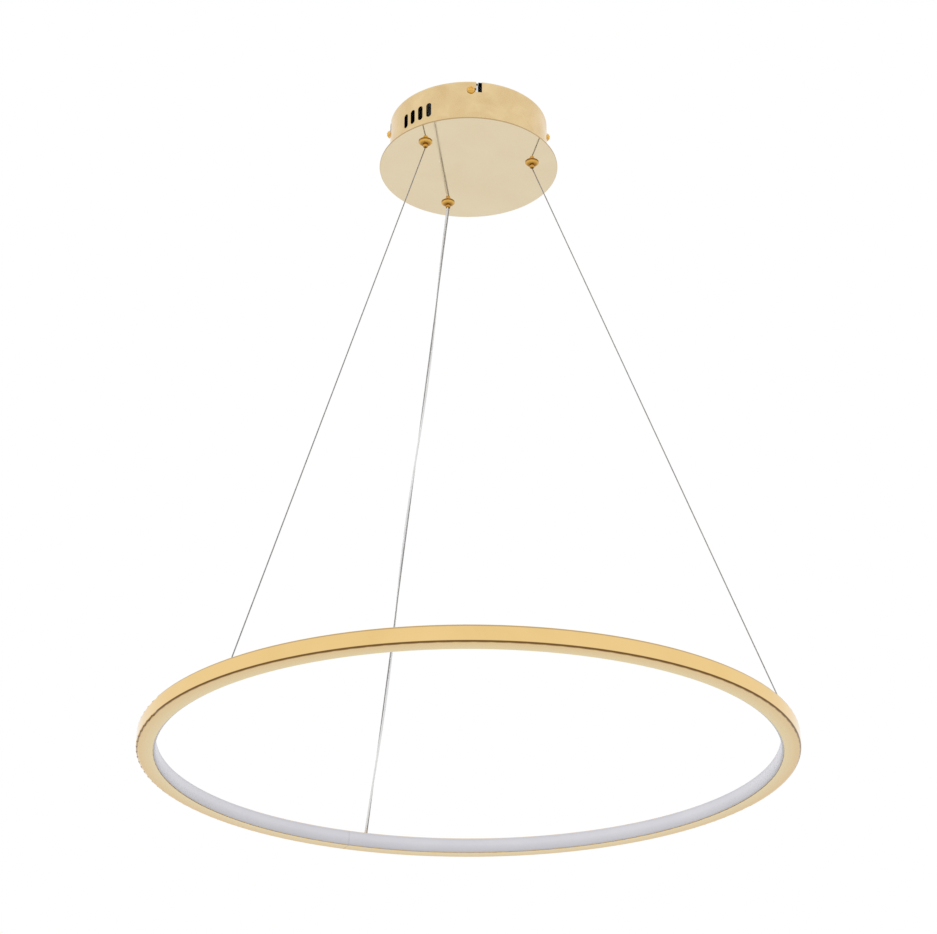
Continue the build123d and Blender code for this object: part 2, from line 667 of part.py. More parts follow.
def ring_profile():
    lip_low, lip_high = PROFILE_T + LIP_T, PROFILE_H - PROFILE_T - LIP_T
    lip_in, lip_out = PROFILE_IN_R + LIP_IN, PROFILE_IN_R + LIP_IN + LIP_T
    face = section([(PROFILE_IN_R, 0), (RING_R, 0), (RING_R, PROFILE_H), (PROFILE_IN_R, PROFILE_H),
                    (PROFILE_IN_R, PROFILE_H - PROFILE_T), (lip_in, PROFILE_H - PROFILE_T),
                    (lip_in, lip_high), (lip_out, lip_high), (lip_out, PROFILE_H - PROFILE_T),
                    (WEB_IN_R, PROFILE_H - PROFILE_T), (WEB_IN_R, PROFILE_T), (lip_out, PROFILE_T),
                    (lip_out, lip_low), (lip_in, lip_low), (lip_in, PROFILE_T), (PROFILE_IN_R, PROFILE_T)])
    ring = around(fillet(face.vertices().sort_by(Axis.X)[-2:], PROFILE_EDGE))
    low, high = RING_TOP - PROFILE_T, RING_TOP
    for az in ANCHOR_AZ:
        ring -= at(az, ANCHOR_R) * rod(ANCHOR_SHANK_R + FIT_GAP, low, high)
    for place in splice_places():
        ring -= place * rod(SPLICE_SCREW_R + FIT_GAP, low, high)
    return ring


def diffuser():
    inner, back = PROFILE_IN_R - DIFFUSER_PROUD, PROFILE_IN_R - FIT_GAP
    low, high = DIFFUSER_FOOT, PROFILE_H - DIFFUSER_HEAD
    leg_low, leg_high = PROFILE_T + FIT_GAP, PROFILE_H - PROFILE_T - FIT_GAP
    leg_end = PROFILE_IN_R + LEG_L
    dent = LIP_T + FIT_GAP
    dent_in, dent_out = PROFILE_IN_R + LIP_IN - FIT_GAP, PROFILE_IN_R + LIP_IN + LIP_T + FIT_GAP
    e = DIFFUSER_EDGE
    points = [(inner, low + e), (inner + e, low), (back, low), (back, leg_low),
              (dent_in, leg_low), (dent_in, leg_low + dent), (dent_out, leg_low + dent), (dent_out, leg_low),
              (leg_end, leg_low), (leg_end, leg_low + LEG_T), (back, leg_low + LEG_T),
              (back, leg_high - LEG_T), (leg_end, leg_high - LEG_T), (leg_end, leg_high),
              (dent_out, leg_high), (dent_out, leg_high - dent), (dent_in, leg_high - dent),
              (dent_in, leg_high), (back, leg_high), (back, high), (inner + e, high), (inner, high - e)]
    return around(section(points))


def light_board():
    low, high = (PROFILE_H - BOARD_W) / 2, (PROFILE_H + BOARD_W) / 2
    back = WEB_IN_R - FIT_GAP / 2
    return around(section([(back - BOARD_T, low), (back, low), (back, high), (back - BOARD_T, high)]))


def light_chips():
    face = WEB_IN_R - FIT_GAP / 2 - BOARD_T
    first = SEAM_AZ + degrees(CHIP_W / face)
    last = CLIP_AZ + 360 - degrees((CLIP_L / 2 + CHIP_W) / face)
    corner = face * cos(asin(CHIP_W / 2 / face))
    chips = []
    for k in range(CHIP_COUNT):
        az = first + (last - first) * k / (CHIP_COUNT - 1)
        chip = Box(CHIP_T, CHIP_W, CHIP_H, align=(Align.MAX, Align.CENTER, Align.CENTER))
        chips.append(at(az, corner, RING_BOTTOM + PROFILE_H / 2) * chip)
    return group(chips)


def strip_clip():
    face = WEB_IN_R - FIT_GAP / 2 - BOARD_T
    corner = face * cos(asin(CLIP_L / 2 / face)) - FIT_GAP
    clip = Box(CLIP_T, CLIP_L, CLIP_H, align=(Align.MAX, Align.CENTER, Align.CENTER))
    clip = chamfer(clip.edges().filter_by(Axis.X), CLIP_EDGE)
    return at(CLIP_AZ, corner, RING_BOTTOM + PROFILE_H / 2) * clip


def anchor_bush(k):
    collar = rod(COLLAR_R, 0, COLLAR_H)
    collar = fillet(collar.edges().group_by(Axis.Z)[-1], COLLAR_H / 3)
    bush = collar + rod(ANCHOR_SHANK_R, -ANCHOR_SHANK_L, 0)
    bush -= rod(bore_of(k), -ANCHOR_SHANK_L, COLLAR_H)
    return at(ANCHOR_AZ[k], ANCHOR_R, RING_TOP) * bush


def anchor_nut(k):
    top = -PROFILE_T
    nut = hexagon(ANCHOR_NUT_AF, ANCHOR_SHANK_R + RUN_GAP, top - ANCHOR_NUT_H, top)
    return at(ANCHOR_AZ[k], ANCHOR_R, RING_TOP) * nut


def splice_places():
    return [at(SEAM_AZ + degrees(shift / ANCHOR_R), ANCHOR_R) for shift in SPLICE_SCREWS]


def splice_plate():
    half = degrees(SPLICE_L / 2 / ANCHOR_R)
    inner, outer = ANCHOR_R - SPLICE_W / 2, ANCHOR_R + SPLICE_W / 2
    high = RING_TOP - PROFILE_T
    low = high - SPLICE_T
    plate = at(SEAM_AZ - half) * turned([(inner, low), (outer, low), (outer, high), (inner, high)], 2 * half)
    for place in splice_places():
        plate -= place * rod(SPLICE_SCREW_R + RUN_GAP, low, high)
    return plate


def splice_screws():
    screws = []
    for place in splice_places():
        head = rod(SPLICE_HEAD_R, RING_TOP, RING_TOP + SPLICE_HEAD_H)
        head = fillet(head.edges().group_by(Axis.Z)[-1], SPLICE_HEAD_H / 2)
        head -= rod(SPLICE_DRIVE_R, RING_TOP + SPLICE_HEAD_H / 2, RING_TOP + SPLICE_HEAD_H)
        screws.append(place * (head + rod(SPLICE_SCREW_R, RING_TOP - PROFILE_T - SPLICE_T, RING_TOP)))
    return group(screws)


def grippers():
    pieces = {}
    for k, az in enumerate(GRIP_AZ):
        place = at(az, GRIP_R, DISC_BOTTOM)
        n = k + 1
        bore = bore_of(k)
        pieces[f"gripper_body_{n}"] = place * gripper_body()
        pieces[f"gripper_nose_{n}"] = place * gripper_nose(bore)
        pieces[f"gripper_jaws_{n}"] = group([place * gripper_jaws(bore)])
        pieces[f"gripper_spring_{n}"] = place * gripper_spring()
        pieces[f"gripper_cap_{n}"] = place * gripper_cap(bore)
        pieces[f"suspension_wire_{n}"] = wire_free(k)
    return pieces


def whole_lamp():
    wires = range(WIRE_COUNT)
    places = [at(az, GRIP_R, DISC_BOTTOM) for az in GRIP_AZ]
    pieces = {
        "ceiling_plate": ceiling_plate(),
        "supply_bush": supply_bush(),
        "earth_screw": earth_screw(),
        "canopy_screws": group([side_screw(az) for az in TAB_AZ]),
        "canopy_shell": canopy_shell(),
        "canopy_disc": canopy_disc(),
        "gripper_washers": group([place * gripper_washer() for place in places]),
        "gripper_nuts": group([place * gripper_nut() for place in places]),
        "wire_tails": group([wire_tail(k) for k in wires]),
        "wire_stops": group([wire_stop(k) for k in wires]),
        "wire_ends": group([wire_end(k) for k in wires]),
        "wire_ferrules": group([wire_ferrule(k) for k in wires]),
        "power_cable": cable_free(),
        "power_cable_inner": cable_inner(),
        "power_cable_end": cable_end(),
        "driver_case": driver_case(),
        "driver_lid": driver_lid(),
        "driver_board": driver_board(),
        "driver_transformer": driver_transformer(),
        "driver_capacitors": driver_capacitors(),
        "driver_screws": driver_screws(),
        "driver_output_lead": output_lead(),
        "output_plug": connector_half(CONNECTOR_Y, CONNECTOR_W / 3),
        "output_socket": connector_half(CONNECTOR_Y + CONNECTOR_L, CONNECTOR_W / 2),
        "mains_lead": mains_lead(),
        "terminal_block": terminal_block(),
        "terminal_screws": terminal_screws(),
        "ring_profile": ring_profile(),
        "diffuser": diffuser(),
        "light_board": light_board(),
        "light_chips": light_chips(),
        "strip_clip": strip_clip(),
        "splice_plate": splice_plate(),
        "splice_screws": splice_screws(),
        "anchor_nuts": group([anchor_nut(k) for k in wires]),
    }
    for k in wires:
        pieces[f"anchor_bush_{k + 1}"] = anchor_bush(k)
    pieces.update(grippers())
    return pieces


os.makedirs("parts", exist_ok=True)
for node, shape in whole_lamp().items():
    export_step(shape, f"parts/{node}.step")
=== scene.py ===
import json
from math import cos, pi, radians, sin, tau

import bmesh
import bpy
from mathutils import Matrix, Vector


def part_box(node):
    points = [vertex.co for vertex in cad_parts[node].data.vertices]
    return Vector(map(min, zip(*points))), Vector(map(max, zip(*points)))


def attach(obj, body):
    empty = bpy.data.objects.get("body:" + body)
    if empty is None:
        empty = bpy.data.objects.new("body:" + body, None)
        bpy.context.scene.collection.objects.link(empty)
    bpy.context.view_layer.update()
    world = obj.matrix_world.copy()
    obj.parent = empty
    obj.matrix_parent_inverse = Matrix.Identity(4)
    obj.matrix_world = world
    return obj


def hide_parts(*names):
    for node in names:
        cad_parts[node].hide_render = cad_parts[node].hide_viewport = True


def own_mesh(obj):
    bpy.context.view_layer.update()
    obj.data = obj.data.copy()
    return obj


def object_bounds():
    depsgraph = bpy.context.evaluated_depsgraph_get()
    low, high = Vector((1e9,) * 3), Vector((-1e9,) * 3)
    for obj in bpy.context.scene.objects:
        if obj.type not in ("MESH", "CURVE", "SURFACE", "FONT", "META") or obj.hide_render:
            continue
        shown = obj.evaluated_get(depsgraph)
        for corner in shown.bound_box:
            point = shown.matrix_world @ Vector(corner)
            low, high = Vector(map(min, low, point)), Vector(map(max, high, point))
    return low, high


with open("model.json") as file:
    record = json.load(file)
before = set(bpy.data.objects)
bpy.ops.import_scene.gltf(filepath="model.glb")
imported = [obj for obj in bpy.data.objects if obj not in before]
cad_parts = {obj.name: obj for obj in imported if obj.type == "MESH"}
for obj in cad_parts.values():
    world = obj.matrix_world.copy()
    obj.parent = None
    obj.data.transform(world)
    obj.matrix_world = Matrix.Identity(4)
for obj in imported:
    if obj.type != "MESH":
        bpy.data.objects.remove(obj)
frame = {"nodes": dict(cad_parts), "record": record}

# A ring-shaped pendant light. Metres, +Z up, the viewer on the -Y side and below the ring.
cad_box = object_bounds()

# ---- viewpoint ----
CAMERA_PLACE = (0.0, -1.9586, -1.3517)
CAMERA_RISE = 26.05           # degrees above the level
CAMERA_LENS = 86.61           # millimetres, on a sensor 36 mm wide
SENSOR_W = 36.0

# ---- wires and cable ----
WIRE_COUNT = 3
FEED_WIRE = 3                 # the wire that carries the cable
WIRE_D = 0.0012
STRANDS = 6
STRAND_DOUBLINGS = 6          # a strand makes two to this power turns
STRAND_STEPS = 14             # rings per turn
STRAND_SIDES = 8
WELD = 0.000002
CABLE_D = 0.002
CABLE_SPACING = 0.00175       # wire middle to cable middle, where both enter a bore
FEED_SHIFT = 0.0011           # wire's shift from the bore's middle beside the cable
WIND_R = 0.0018               # corners of the cable's slow winding round the wire
WIND_TURNS = 2
WIND_STEPS = 8                # points per turn
END_SPARE = 0.0015            # drawn past each end, into the bore
CORE_D = 0.00076
CORE_OFFSET = 0.00044         # core middle to cable middle
CORE_LAY = 0.0062             # length of one turn of a core
WIRE_LINE_STEPS = 8           # points for each span of a route
CABLE_STEPS = 12
CORE_STEPS = 48
CORE_ROUNDNESS = 2            # bevel resolution
SHEATH_ROUNDNESS = 4


def camera():
    data = bpy.data.cameras.new("viewpoint")
    data.lens = CAMERA_LENS
    data.sensor_width = SENSOR_W
    view = bpy.data.objects.new("viewpoint", data)
    view.location = CAMERA_PLACE
    view.rotation_euler = (radians(90 + CAMERA_RISE), 0, 0)
    bpy.context.scene.collection.objects.link(view)
    bpy.context.scene.camera = view


# ---- places read from the frame ----
def middle(node):
    low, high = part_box(node)
    return (low + high) / 2


def beside(place, shift):
    """A place moved level, at right angles to its direction from the lamp's axis."""
    outward = Vector((place.x, place.y, 0)).normalized()
    return place + shift * Vector((0, 0, 1)).cross(outward)


def wire_ends(k):
    """Wire k where it leaves the gripper's nose and where it enters the ring's bush."""
    top, end = middle(f"gripper_nose_{k}"), middle(f"anchor_bush_{k}")
    top.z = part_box(f"gripper_nose_{k}")[0].z
    end.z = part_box(f"anchor_bush_{k}")[1].z
    shift = -FEED_SHIFT if k == FEED_WIRE else 0.0
    return beside(top, shift), beside(end, shift)


# ---- making pieces ----
def piece(name, mesh, body, material):
    made = bpy.data.objects.new(name, mesh)
    bpy.context.scene.collection.objects.link(made)
    mesh.polygons.foreach_set("use_smooth", [True] * len(mesh.polygons))
    mesh.materials.clear()
    mesh.materials.append(material)
    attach(made, body)
    return made


def route(name, points, steps):
    """A smooth open spline with the route's points as its control points."""
    curve = bpy.data.curves.new(name, "CURVE")
    curve.dimensions = "3D"
    curve.resolution_u = steps
    spline = curve.splines.new("NURBS")
    spline.points.add(len(points) - 1)
    for spot, place in zip(spline.points, points):
        spot.co = (*place, 1.0)
    spline.order_u = 3
    spline.use_endpoint_u = True
    return curve


def curve_mesh(curve):
    holder = bpy.data.objects.new(curve.name, curve)
    mesh = bpy.data.meshes.new_from_object(holder)
    bpy.data.objects.remove(holder)
    return mesh


def followed(curve):
    """Points along a route that has no thickness yet."""
    mesh = curve_mesh(curve)
    return [vertex.co.copy() for vertex in mesh.vertices]


def tube_mesh(curve, diameter, roundness):
    curve.bevel_depth = diameter / 2
    curve.bevel_resolution = roundness
    curve.use_fill_caps = True
    return curve_mesh(curve)


def strand_mesh(name, top, end):
    """Strands laid round the line from top to end: one turn, doubled until it is long enough."""
    strand_r = WIRE_D / 6
    lay = (end - top).length / 2 ** STRAND_DOUBLINGS
    bm = bmesh.new()
    for strand in range(STRANDS):
        turn = Matrix.Rotation(tau * strand / STRANDS, 4, "Z")
        place = turn @ Matrix.Translation((WIRE_D / 2 - strand_r, 0, 0))
        bmesh.ops.create_circle(bm, segments=STRAND_SIDES, radius=strand_r, matrix=place)
    bmesh.ops.spin(bm, geom=bm.verts[:] + bm.edges[:], cent=(0, 0, 0), axis=(0, 0, 1),
                   dvec=(0, 0, lay / STRAND_STEPS), angle=tau, steps=STRAND_STEPS)
    for doubling in range(STRAND_DOUBLINGS):
        copied = bmesh.ops.duplicate(bm, geom=bm.verts[:] + bm.edges[:] + bm.faces[:])["geom"]
        moved = [item for item in copied if isinstance(item, bmesh.types.BMVert)]
        bmesh.ops.translate(bm, verts=moved, vec=(0, 0, lay * 2 ** doubling))
    bmesh.ops.remove_doubles(bm, verts=bm.verts[:], dist=WELD)
    bmesh.ops.holes_fill(bm, edges=[edge for edge in bm.edges if edge.is_boundary])
    bmesh.ops.recalc_face_normals(bm, faces=bm.faces[:])
    turned = (end - top).to_track_quat("Z", "Y").to_matrix().to_4x4()
    bm.transform(Matrix.Translation(top) @ turned)
    mesh = bpy.data.meshes.new(name)
    bm.to_mesh(mesh)
    bm.free()
    return mesh


def hang(wire):
    """Gives the piece a mesh of its own."""
    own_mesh(wire)


def steel_wire(k, material):
    top, end = wire_ends(k)
    line = route(f"wire_line_{k}", [top, (top + end) / 2, end], WIRE_LINE_STEPS)
    wire = piece(f"stranded_wire_{k}", strand_mesh(f"stranded_wire_{k}", top, end), "canopy",
                 material)
    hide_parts(f"suspension_wire_{k}")
    hang(wire)
    followed(line)


def winding(top, end):
    """The cable's slow turns round the third wire."""
    along = (end - top).normalized()
    side = Vector((0, 0, 1)).cross(along).normalized()
    across = along.cross(side)
    steps = WIND_TURNS * WIND_STEPS
    points = []
    for step in range(steps + 1):
        turn = tau * step / WIND_STEPS
        radius = CABLE_SPACING if step in (0, steps) else WIND_R
        centre = top + (end - top) * (step / steps)
        points.append(centre + side * (radius * cos(turn)) + across * (radius * sin(turn)))
    points[0] -= along * END_SPARE
    points[-1] += along * END_SPARE
    return points


def core_points(line, phase):
    """One core's helix inside the sheath, about the cable's line."""
    side = Vector((0, 0, 1)).cross(line[-1] - line[0])
    points = []
    gone = 0.0
    for before, spot, after in zip(line, line[1:], line[2:]):
        gone += (spot - before).length
        along = (after - before).normalized()
        normal = (side - along * side.dot(along)).normalized()
        turn = tau * gone / CORE_LAY + phase
        points.append(spot + CORE_OFFSET * (normal * cos(turn) + along.cross(normal) * sin(turn)))
    return points


def core_mesh(name, points):
    curve = bpy.data.curves.new(name, "CURVE")
    curve.dimensions = "3D"
    spline = curve.splines.new("POLY")
    spline.points.add(len(points) - 1)
    for spot, place in zip(spline.points, points):
        spot.co = (*place, 1.0)
    return tube_mesh(curve, CORE_D, CORE_ROUNDNESS)


def feed_cable(sheath_material, core_material):
    top, end = wire_ends(FEED_WIRE)
    points = winding(top, end)
    path = followed(route("cable_line", points, CABLE_STEPS))
    fine = followed(route("core_line", points, CORE_STEPS))
    for n in (1, 2):
        mesh = core_mesh(f"cable_core_{n}", core_points(fine, pi * n))
        core = piece(f"cable_core_{n}", mesh, "canopy", core_material)
        hang(core)
    mesh = tube_mesh(route("cable_sheath", points, CABLE_STEPS), CABLE_D, SHEATH_ROUNDNESS)
    sheath = piece("cable_sheath", mesh, "canopy", sheath_material)
    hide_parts("power_cable")
    hang(sheath)


# ---- locking springs ----
SPRING_TURNS = 4
SPRING_STEPS = 28             # rings per turn
SPRING_SIDES = 10
SPRING_WIRE = 0.0006


def locking_spring(k, material):
    low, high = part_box(f"gripper_spring_{k}")
    wire_r = SPRING_WIRE / 2
    coil_r = (high.x - low.x) / 2 - wire_r
    rise = high.z - low.z - SPRING_WIRE
    bm = bmesh.new()
    start = Matrix.Translation((coil_r, 0, wire_r)) @ Matrix.Rotation(pi / 2, 4, "X")
    bmesh.ops.create_circle(bm, segments=SPRING_SIDES, radius=wire_r, matrix=start)
    steps = SPRING_TURNS * SPRING_STEPS
    bmesh.ops.spin(bm, geom=bm.verts[:] + bm.edges[:], cent=(0, 0, 0), axis=(0, 0, 1),
                   dvec=(0, 0, rise / steps), angle=tau * SPRING_TURNS, steps=steps)
    bmesh.ops.holes_fill(bm, edges=[edge for edge in bm.edges if edge.is_boundary])
    bmesh.ops.recalc_face_normals(bm, faces=bm.faces[:])
    centre = (low + high) / 2
    bm.transform(Matrix.Translation((centre.x, centre.y, low.z)))
    mesh = bpy.data.meshes.new(f"locking_spring_{k}")
    bm.to_mesh(mesh)
    bm.free()
    spring = piece(f"locking_spring_{k}", mesh, "canopy", material)
    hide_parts(f"gripper_spring_{k}")
    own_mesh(spring)


# ---- shader nodes ----
def add(tree, kind, sockets=None, **settings):
    """A node, with numbers or links for the named or numbered sockets."""
    node = tree.nodes.new("ShaderNode" + kind)
    for key, value in settings.items():
        setattr(node, key, value)
    for key, value in (sockets or {}).items():
        if isinstance(value, bpy.types.NodeSocket):
            tree.links.new(value, node.inputs[key])
        else:
            node.inputs[key].default_value = value
    return node


def sum_up(tree, kind, *values, clamp=False):
    node = add(tree, "Math", dict(enumerate(values)), operation=kind, use_clamp=clamp)
    return node.outputs[0]


def blend_colours(tree, factor, first, second):
    node = tree.nodes.new("ShaderNodeMix")
    node.data_type = "RGBA"
    for key, value in ((0, factor), (6, first), (7, second)):
        if isinstance(value, bpy.types.NodeSocket):
            tree.links.new(value, node.inputs[key])
        else:
            node.inputs[key].default_value = value
    return node.outputs[2]


def spread(tree, value, low, high, from_low=0.0, from_high=1.0):
    """Maps a mask to a range."""
    node = add(tree, "MapRange", {"Value": value, "From Min": from_low, "From Max": from_high,
                                  "To Min": low, "To Max": high})
    return node.outputs["Result"]


def distance(tree, place):
    """Level distance from the lamp's axis."""
    flat = add(tree, "VectorMath", {0: place, 1: (1, 1, 0)}, operation="MULTIPLY").outputs[0]
    return add(tree, "VectorMath", {0: flat}, operation="LENGTH").outputs["Value"]


KINDS = {"vector": "NodeSocketVector", "value": "NodeSocketFloat"}


def shared_effect(name, inputs, output):
    """An empty node group with named sockets, and its first and last nodes."""
    group = bpy.data.node_groups.new(name, "ShaderNodeTree")
    for label, default in inputs.items():
        kind = "vector" if isinstance(default, tuple) else "value"
        socket = group.interface.new_socket(label, in_out="INPUT", socket_type=KINDS[kind])
        socket.default_value = default
    label, kind = output
    group.interface.new_socket(label, in_out="OUTPUT", socket_type=KINDS[kind])
    start = group.nodes.new("NodeGroupInput")
    end = group.nodes.new("NodeGroupOutput")
    return group, start.outputs, end.inputs


def round_the_axis():
    """Coordinates whose fine lines run round the Z axis and fade in and out along the way."""
    group, given, result = shared_effect(
        "round_the_axis", {"Vector": (0, 0, 0), "Fineness": 2500.0, "Drift": 6.0}, ("Vector", "vector"))
    parts = add(group, "SeparateXYZ", {0: given["Vector"]}).outputs
    flat = add(group, "CombineXYZ", {"X": parts["X"], "Y": parts["Y"]})
    radius = add(group, "VectorMath", {0: flat.outputs[0]}, operation="LENGTH").outputs["Value"]
    slow = add(group, "TexNoise", {"Vector": given["Vector"], "Scale": given["Drift"], "Detail": 1.0})
    across = sum_up(group, "MULTIPLY", radius, given["Fineness"])
    up = sum_up(group, "MULTIPLY", parts["Z"], given["Fineness"])
    along = sum_up(group, "MULTIPLY", slow.outputs[0], 9.0)
    placed = add(group, "CombineXYZ", {"X": across, "Y": up, "Z": along})
    group.links.new(placed.outputs[0], result["Vector"])
    return group


def polishing_lines():
    """Fine parallel lines of uneven depth, 0 to 1."""
    group, given, result = shared_effect(
        "polishing_lines", {"Vector": (0, 0, 0), "Unevenness": 0.5}, ("Lines", "value"))
    fine = add(group, "TexNoise", {"Vector": given["Vector"], "Scale": 1.0, "Detail": 3.0,
                                   "Roughness": given["Unevenness"]})
    wide = add(group, "TexNoise", {"Vector": given["Vector"], "Scale": 0.13, "Detail": 2.0})
    both = sum_up(group, "MULTIPLY_ADD", wide.outputs[0], 0.6, fine.outputs[0])
    group.links.new(spread(group, both, 0.0, 1.0, 0.45, 1.15), result["Lines"])
    return group


def soft_patches():
    """Broad, soft patches such as handling and polishing leave, 0 to 1."""
    group, given, result = shared_effect(
        "soft_patches", {"Vector": (0, 0, 0), "Scale": 30.0, "Contrast": 1.0}, ("Patches", "value"))
    noise = add(group, "TexNoise", {"Vector": given["Vector"], "Scale": given["Scale"], "Detail": 4.0,
                                    "Roughness": 0.55, "Distortion": 0.4})
    centred = sum_up(group, "SUBTRACT", noise.outputs[0], 0.5)
    scaled = sum_up(group, "MULTIPLY", centred, given["Contrast"])
    group.links.new(sum_up(group, "MULTIPLY_ADD", scaled, 2.0, 0.5, clamp=True), result["Patches"])
    return group


def edge_line():
    """A mask that is 1 at one place and fades to 0 within a width of it."""
    group, given, result = shared_effect(
        "edge_line", {"Place": 0.0, "Edge": 0.0, "Width": 0.001}, ("Mask", "value"))
    gap = sum_up(group, "SUBTRACT", given["Place"], given["Edge"])
    share = sum_up(group, "DIVIDE", sum_up(group, "ABSOLUTE", gap), given["Width"])
    group.links.new(sum_up(group, "SUBTRACT", 1.0, share, clamp=True), result["Mask"])
    return group


def settled_dust():
    """Thin dust on what faces up, 0 to 1."""
    group, given, result = shared_effect(
        "settled_dust", {"Vector": (0, 0, 0), "Normal": (0, 0, 1), "Amount": 0.3}, ("Mask", "value"))
    facing = add(group, "SeparateXYZ", {0: given["Normal"]}).outputs["Z"]
    upward = spread(group, facing, 0.0, 1.0, 0.6, 1.0)
    speck = add(group, "TexNoise", {"Vector": given["Vector"], "Scale": 900.0, "Detail": 3.0}).outputs[0]
    grains = sum_up(group, "MULTIPLY", upward, spread(group, speck, 0.3, 1.0, 0.35, 0.7))
    group.links.new(sum_up(group, "MULTIPLY", grains, given["Amount"]), result["Mask"])
    return group


effects = {effect.name: effect for effect in
           (round_the_axis(), polishing_lines(), soft_patches(), edge_line(), settled_dust())}


def use(tree, name, sockets):
    node = tree.nodes.new("ShaderNodeGroup")
    node.node_tree = effects[name]
    for key, value in sockets.items():
        if isinstance(value, bpy.types.NodeSocket):
            tree.links.new(value, node.inputs[key])
        else:
            node.inputs[key].default_value = value
    return node.outputs[0]


def finish(name, **fixed):
    """A material with its shader, whose uniform numbers stay on the shader's own sockets."""
    material = bpy.data.materials.new(name)
    material.use_nodes = True
    tree = material.node_tree
    shader = tree.nodes["Principled BSDF"]
    for key, value in fixed.items():
        shader.inputs[key.replace("_", " ")].default_value = value
    place = add(tree, "TexCoord").outputs["Object"]
    return material, tree, shader, place


def feed(tree, shader, colour=None, roughness=None, height=None, depth=0.00001, strength=1.0):
    if colour is not None:
        tree.links.new(colour, shader.inputs["Base Color"])
    if roughness is not None:
        tree.links.new(roughness, shader.inputs["Roughness"])
    if height is not None:
        bump = add(tree, "Bump", {"Height": height, "Distance": depth, "Strength": strength})
        tree.links.new(bump.outputs[0], shader.inputs["Normal"])


def dusted(tree, place, colour, amount):
    facing = add(tree, "NewGeometry").outputs["Normal"]
    mask = use(tree, "settled_dust", {"Vector": place, "Normal": facing, "Amount": amount})
    return blend_colours(tree, mask, colour, DUST)


# ---- finishes, one for each material slot of the record, and the cable's cores ----
DUST = (0.62, 0.60, 0.56, 1)
WORN_RIM = (0.86, 0.74, 0.52, 1)
WORN_WIDTH = 0.0012
CUT_EDGE = (0.42, 0.26, 0.10, 1)        # disc's sheared edge
INSIDE_SHADE = (0.03, 0.022, 0.016, 1)      # painted shade on the box wall's inner side
# painted shade in the grippers' seams
SEAM_SHADE = (0.20, 0.075, 0.012, 1)
PLATE_SHADE = (0.03, 0.028, 0.026, 1)   # outer bend of the ceiling plate
UNDERSIDE_REFLECTION_OUTER = (0.865, 0.63, 0.31, 1)     # painted reflection on the ring's underside, beside the outer corner
UNDERSIDE_REFLECTION_INNER = (0.90, 0.735, 0.41, 1)     # painted reflection on the ring's underside, beside the diffuser
CORNER_DARK_REFLECTION = (0.13, 0.05, 0.012, 1)
LOW_EDGE = (0.0010, 0.0009, 0.9)        # painted dark reflection line above the underside: height, half width, depth
HIGH_EDGE = (0.0012, 0.0009, 0.4)       # painted dark reflection line below the top
# Pairs of distances inwards from a piece's rim or outer side, between which a colour changes over.
CUT_REACH = (0.0005, 0.0001)            # none of the cut edge, then all of it
INSIDE_SHADE_REACH = (0.0003, 0.0001)              # painted shade on the inner side, then none of it
UNDERSIDE_REACH = (0.0145, 0.0035)      # the inner painted reflection colour, then the outer one
CORNER_BAND = (0.0026, 0.0022)          # none of the painted dark reflection lines, then all of them
PLATE_BEND = (0.0040, 0.0030)           # none of the shade, then all of it, also down from the top


def gold_mirror():
    """Mirror-polished ceiling disc, with the sheet's faint rolling lines."""
    material, tree, shader, place = finish("gold_mirror", Metallic=1.0)
    rolled = add(tree, "Mapping", {"Vector": place, "Scale": (14.0, 1400.0, 14.0)}).outputs[0]
    lines = use(tree, "polishing_lines", {"Vector": rolled, "Unevenness": 0.6})
    patches = use(tree, "soft_patches", {"Vector": place, "Scale": 22.0, "Contrast": 1.2})
    colour = blend_colours(tree, patches, (0.90, 0.765, 0.53, 1), (0.87, 0.73, 0.49, 1))
    low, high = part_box("canopy_disc")
    disc_r = (high.x - low.x) / 2
    cut = spread(tree, distance(tree, place), 0.0, 0.8, disc_r - CUT_REACH[0], disc_r - CUT_REACH[1])
    colour = blend_colours(tree, cut, colour, CUT_EDGE)
    rough = sum_up(tree, "MULTIPLY_ADD", lines, 0.03, spread(tree, patches, 0.03, 0.06))
    feed(tree, shader, dusted(tree, place, colour, 0.2), rough, lines, 0.000001, 0.35)
    return material


def gold_wall():
    """Satin-polished box wall, lighter along its worn rim, with painted shade on its inner side."""
    material, tree, shader, place = finish("gold_wall", Metallic=1.0)
    low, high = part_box("canopy_shell")
    around = use(tree, "round_the_axis", {"Vector": place, "Fineness": 1800.0, "Drift": 14.0})
    lines = use(tree, "polishing_lines", {"Vector": around, "Unevenness": 0.5})
    patches = use(tree, "soft_patches", {"Vector": place, "Scale": 38.0, "Contrast": 1.5})
    colour = blend_colours(tree, patches, (0.79, 0.60, 0.33, 1), (0.70, 0.51, 0.26, 1))
    parts = add(tree, "SeparateXYZ", {0: place}).outputs
    rim = use(tree, "edge_line", {"Place": parts["Z"], "Edge": high.z, "Width": WORN_WIDTH})
    colour = blend_colours(tree, sum_up(tree, "MULTIPLY", rim, 0.5), colour, WORN_RIM)
    wall_r = (high.x - low.x) / 2
    # painted shade: the wall's inner side is made near black
    inside = spread(tree, distance(tree, place), 1.0, 0.0, wall_r - INSIDE_SHADE_REACH[0], wall_r - INSIDE_SHADE_REACH[1])
    colour = blend_colours(tree, inside, colour, INSIDE_SHADE)
    rough = sum_up(tree, "MULTIPLY_ADD", lines, 0.07, spread(tree, patches, 0.16, 0.26))
    feed(tree, shader, dusted(tree, place, colour, 0.2), rough, lines, 0.000004, 0.5)
    return material


